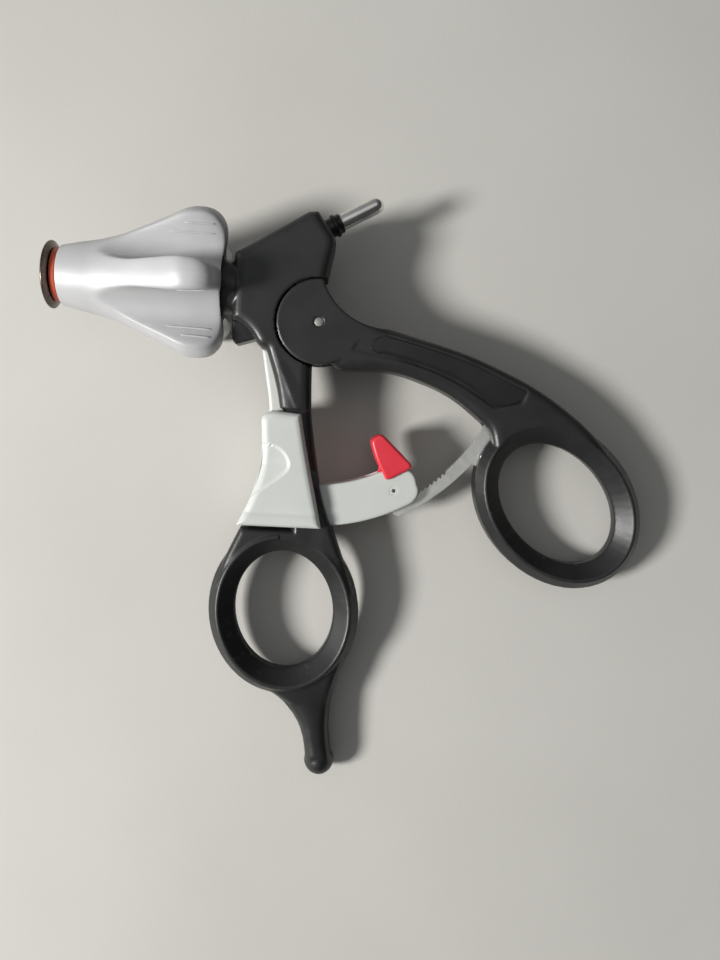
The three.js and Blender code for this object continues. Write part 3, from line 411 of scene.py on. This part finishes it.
def openness(radius, crest, away, x):
    """Below nought inside the knob's solid, above nought outside it."""
    valley, rounding = flute_at(x)
    centre = valley + FLUTE_RADIUS
    half = math.asin(FLUTE_RADIUS / centre)
    if radius > centre * math.cos(half):
        groove = radius * math.sin(half - away)
    else:
        groove = FLUTE_RADIUS - math.sqrt(radius**2 + centre**2 - 2 * radius * centre * math.cos(away))
    over = radius - crest
    return (over + groove + math.hypot(over - groove, rounding)) / 2


def bisect(low, high, outside):
    """The place between low and high where outside turns true."""
    for _ in range(BISECTIONS):
        middle = (low + high) / 2
        if outside(middle):
            high = middle
        else:
            low = middle
    return (low + high) / 2


def on_knob(x, radius, angle):
    return Vector((x, AXIS_Y + radius * math.sin(angle), radius * math.cos(angle)))


def knob_point(x, crest, angle):
    """A point of the fluted surface, given where it lies along and round the knob."""
    away = abs(angle - (math.floor(angle / LOBE_ANGLE) + 0.5) * LOBE_ANGLE)
    radius = crest
    if crest > FLUTES_START:
        radius = bisect(0, crest, lambda r: openness(r, crest, away, x) > 0)
        x -= VALLEY_SET_BACK * (1 - radius / crest) * smoothstep(x, -33, -25)
    return on_knob(x, radius, angle)


KNOB_SIDES = 720
CREST_STEPS = 6
crest_line = spline(KNOB_CREST, CREST_STEPS)
knob_rows = []
for i in range(KNOB_SIDES):
    angle = 2 * math.pi * i / KNOB_SIDES
    row = [knob_point(x, radius, angle) for x, radius in crest_line]
    row += [on_knob(x, radius, angle) for x, radius in KNOB_BORE]
    knob_rows.append(row)
finish_piece(grid_mesh("knob_shell", knob_rows, True, True), ["star_knob"])

# Two grip lines on each flank of each lobe.
GRIP_LINES = [(15.45, -33.0, -26.0), (13.2, -36.9, -25.9)]
GRIP_RADIUS = 0.25
GRIP_STEPS = 24
GRIP_SIDES = 8
CREST_UNTIL = 10  # the crest's radius is a function of x up to this many spans
crest_table = [(point.x, point.y) for point in crest_line[: CREST_STEPS * CREST_UNTIL]]


def grip_ring(k, lobe, flank, radius, start, end):
    """The grip's section at step k, its middle on the knob's surface at this radius."""
    x = start + (end - start) * k / GRIP_STEPS
    crest = between(crest_table, x)
    away = bisect(0, LOBE_ANGLE / 2, lambda a: openness(radius, crest, a, x) < 0)
    centre = on_knob(x, radius, (lobe + 0.5) * LOBE_ANGLE + flank * away)
    taper = GRIP_RADIUS * math.sqrt(max(1 - abs(2 * k / GRIP_STEPS - 1) ** 6, 0.01))
    turns = [2 * math.pi * q / GRIP_SIDES for q in range(GRIP_SIDES)]
    return [centre + Vector((0, taper * math.cos(a), taper * math.sin(a))) for a in turns]


grip_mesh = bpy.data.meshes.new("knob_grips")
grip_verts, grip_faces = [], []
for lobe in range(LOBES):
    for flank in (-1, 1):
        for line in GRIP_LINES:
            base = len(grip_verts)
            for k in range(GRIP_STEPS + 1):
                grip_verts += grip_ring(k, lobe, flank, *line)
            for i in range(GRIP_STEPS):
                for j in range(GRIP_SIDES):
                    a = base + GRIP_SIDES * i + j
                    b = base + GRIP_SIDES * i + (j + 1) % GRIP_SIDES
                    grip_faces.append((a, b, b + GRIP_SIDES, a + GRIP_SIDES))
            grip_faces.append([base + j for j in reversed(range(GRIP_SIDES))])
            grip_faces.append([base + GRIP_SIDES * GRIP_STEPS + j for j in range(GRIP_SIDES)])
grip_mesh.from_pydata(grip_verts, [], grip_faces)
finish_piece(mesh_object("knob_grips", grip_mesh), [], body="rotation_knob", slot="silver_plastic")

# ---------------------------------------------------------------- turned pieces
KNOB_AXIS = Matrix.Translation((0, AXIS_Y, 0))
FLANGE = [(-66.6, 4.25), (-66.6, 7.7), (-66.54, 7.95), (-66.4, 8.13), (-66.2, 8.19), (-66.06, 8.16)]
FLANGE += [(-65.96, 8.03), (-65.35, 6.8), (-65.3, 6.7), (-65.3, 5.1), (-66.3, 5.1), (-66.3, 4.25)]
finish_piece(lathe("flange_ring", FLANGE, KNOB_AXIS), ["front_flange"])
RING = [(-65.0, 5.15), (-65.0, 6.55), (-64.93, 6.66), (-64.8, 6.69)]
RING += [(-64.0, 6.69), (-63.87, 6.66), (-63.8, 6.55), (-63.8, 5.15)]
finish_piece(lathe("indicator_band", RING, KNOB_AXIS), ["indicator_ring"])

PIN_TIP = (14.1, 31.2)
PIN_AXIS = Matrix.Translation((*PIN_TIP, 0)) @ Matrix.Rotation(math.radians(30), 4, "Z")
PIN = [(0, 0), (-0.08, 0.55), (-0.28, 0.95), (-0.6, 1.35), (-1.0, 1.67), (-1.5, 1.87)]
PIN += [(-2.1, 1.97), (-11.2, 1.99), (-11.2, 1.4), (-25.9, 1.4), (-26.0, 1.3), (-26.0, 0)]
finish_piece(lathe("pin_turned", PIN, PIN_AXIS), ["hf_pin"])
COLLAR = [(-11.5, 1.72), (-11.5, 2.25), (-11.62, 2.41), (-11.8, 2.44), (-12.7, 2.44), (-12.8, 2.5)]
COLLAR += [(-12.84, 2.78), (-12.95, 2.87), (-13.1, 2.89), (-13.45, 2.89), (-13.62, 2.85)]
COLLAR += [(-13.7, 2.7), (-13.7, 2.44), (-19.95, 2.44), (-19.95, 1.72)]
finish_piece(lathe("collar_turned", COLLAR, PIN_AXIS), ["hf_collar"])


def upright(x, y):
    return Matrix.Translation((x, y, 0)) @ Matrix.Rotation(math.radians(-90), 4, "Y")


def pin_profile(radius, half, ease):
    """A plain pin with both rims eased, as (x, radius) from end to end."""
    corner = 0.3 * ease
    end = [(half, 0), (half, radius - ease), (half - corner, radius - corner), (half - ease, radius)]
    return [(-x, r) for x, r in end] + end[::-1]


finish_piece(lathe("pivot_rivet", pin_profile(1.12, 6.42, 0.2), upright(0, 0)), ["pivot_pin"], RIVET)

PAWL_PIVOT = (21.4, -40.7)
finish_piece(lathe("pawl_rivet", pin_profile(0.5, 3.13, 0.1), upright(*PAWL_PIVOT)), ["pawl_pin"], DULL)
for sign, name in ((1, "near"), (-1, "far")):
    section = [(sign * 2.0, 0.52), (sign * 3.07, 0.52), (sign * 3.07, 0.94), (sign * 2.0, 0.94)]
    bush = lathe(f"rivet_bush_{name}", section, upright(*PAWL_PIVOT))
    finish_piece(bush, [], body="handle", slot="light_plastic")

# ---------------------------------------------------------------- the arm's blank panel
ARM_TAPER = 0.8
TAPER_START_X, TAPER_END_X = 12.4, 52.5
PANEL_UPPER = [(12.9, -4.3), (13.3, -2.95), (14.9, -2.2), (17.5, -2.35), (27, -4.3), (37, -6.9)]
PANEL_UPPER += [(45.5, -10.0), (52.6, -13.1), (53.1, -13.6)]
PANEL_LOWER = [(12.9, -4.3), (13.2, -5.8), (14.9, -6.75), (17.5, -6.75), (26, -8.5), (34, -11.2)]
PANEL_LOWER += [(40.2, -14.5), (45.7, -18.0), (51.9, -16.3)]
PANEL_EDGE = 6.06  # height of the panel's sunk edge, before the arm's taper
SECTION = [(0, PANEL_EDGE), (0.03, 6.22), (0.08, 6.29), (0.25, 6.31), (0.5, 6.31)]
SECTION += [(0.75, 6.31), (0.92, 6.29), (0.97, 6.22), (1, PANEL_EDGE)]


def on_arm(point, height):
    thinning = 1 + (ARM_TAPER - 1) * smoothstep(point.x, TAPER_START_X, TAPER_END_X)
    return Vector((point.x, point.y, height * thinning))


panel_rows = []
for first, last in zip(spline(PANEL_UPPER, 10), spline(PANEL_LOWER, 10)):
    panel_rows.append([on_arm(first.lerp(last, share), height) for share, height in SECTION])
panel_rows.insert(0, [on_arm(point, PANEL_EDGE) for point in panel_rows[0]])
panel_rows.append([on_arm(point, PANEL_EDGE) for point in panel_rows[-1]])
finish_piece(grid_mesh("arm_panel", panel_rows), [], PANEL, "thumb_arm", "dark_plastic")

# ---------------------------------------------------------------- table, light and camera
TABLE_REACH = 1.2
floor_mesh = bpy.data.meshes.new("table")
corners = [(TABLE_REACH * x, TABLE_REACH * y, 0) for x, y in ((-1, -1), (1, -1), (1, 1), (-1, 1))]
floor_mesh.from_pydata(corners, [], [(0, 1, 2, 3)])
floor = mesh_object("table", floor_mesh)
table = Nodes("table_top")
table.color(table.blend(table.ramp(table.noise(0.01, 4), 0, 1), (0.53, 0.52, 0.485), (0.57, 0.56, 0.525)))
table.shader.inputs["Roughness"].default_value = 0.75
table.normal(table.bump(table.noise(1.5, 3), 0.03))
floor.data.materials.append(table.material)


def area_light(name, at, target, size, watts, color):
    data = bpy.data.lights.new(name, "AREA")
    data.shape = "DISK"
    data.size = size
    data.energy = watts
    data.color = color
    light = bpy.data.objects.new(name, data)
    bpy.context.scene.collection.objects.link(light)
    light.location = at
    light.rotation_euler = (target - at).to_track_quat("-Z", "Y").to_euler()


middle = place(0, -30, 0)
key_from = direction(-0.786, -0.181, 0.591)
area_light("key", middle + key_from * 1.0, middle, 0.23, 13.0, (1.0, 0.985, 0.965))
area_light("top", middle + direction(0.1, 0.3, 0.95) * 0.9, middle, 0.7, 0.4, (1.0, 1.0, 1.0))

# The room is dark but for a soft glow from the knob's side.
world = bpy.data.worlds.new("room")
bpy.context.scene.world = world
world.use_nodes = True
sky = world.node_tree
facing = sky.nodes.new("ShaderNodeVectorMath")
facing.operation = "DOT_PRODUCT"
facing.inputs[1].default_value = Vector((-0.85, 0.1, 0.35)).normalized()
sky.links.new(sky.nodes.new("ShaderNodeTexCoord").outputs["Generated"], facing.inputs[0])
spread = sky.nodes.new("ShaderNodeMapRange")
spread.inputs["From Min"].default_value = -0.2
spread.inputs["To Min"].default_value = 0.05
spread.inputs["To Max"].default_value = 0.38
sky.links.new(facing.outputs["Value"], spread.inputs["Value"])
sky.nodes["Background"].inputs["Color"].default_value = (0.96, 0.98, 1.0, 1)
sky.links.new(spread.outputs["Result"], sky.nodes["Background"].inputs["Strength"])

camera_data = bpy.data.cameras.new("camera")
camera_data.lens = 28.01
camera_data.sensor_width = 36
camera_data.clip_start = 0.01
camera = bpy.data.objects.new("camera", camera_data)
bpy.context.scene.collection.objects.link(camera)
view_right = direction(0.99672, 0.06461, 0.04872)
view_back = direction(-0.05455, 0.09173, 0.99429)
view_up = view_back.cross(view_right)
camera.matrix_world = Matrix.Translation(place(2.34, -21.0, 191.9)) @ Matrix(
    (view_right, view_up, view_back)
).transposed().to_4x4()
bpy.context.scene.camera = camera
bpy.context.scene.view_settings.view_transform = "Standard"
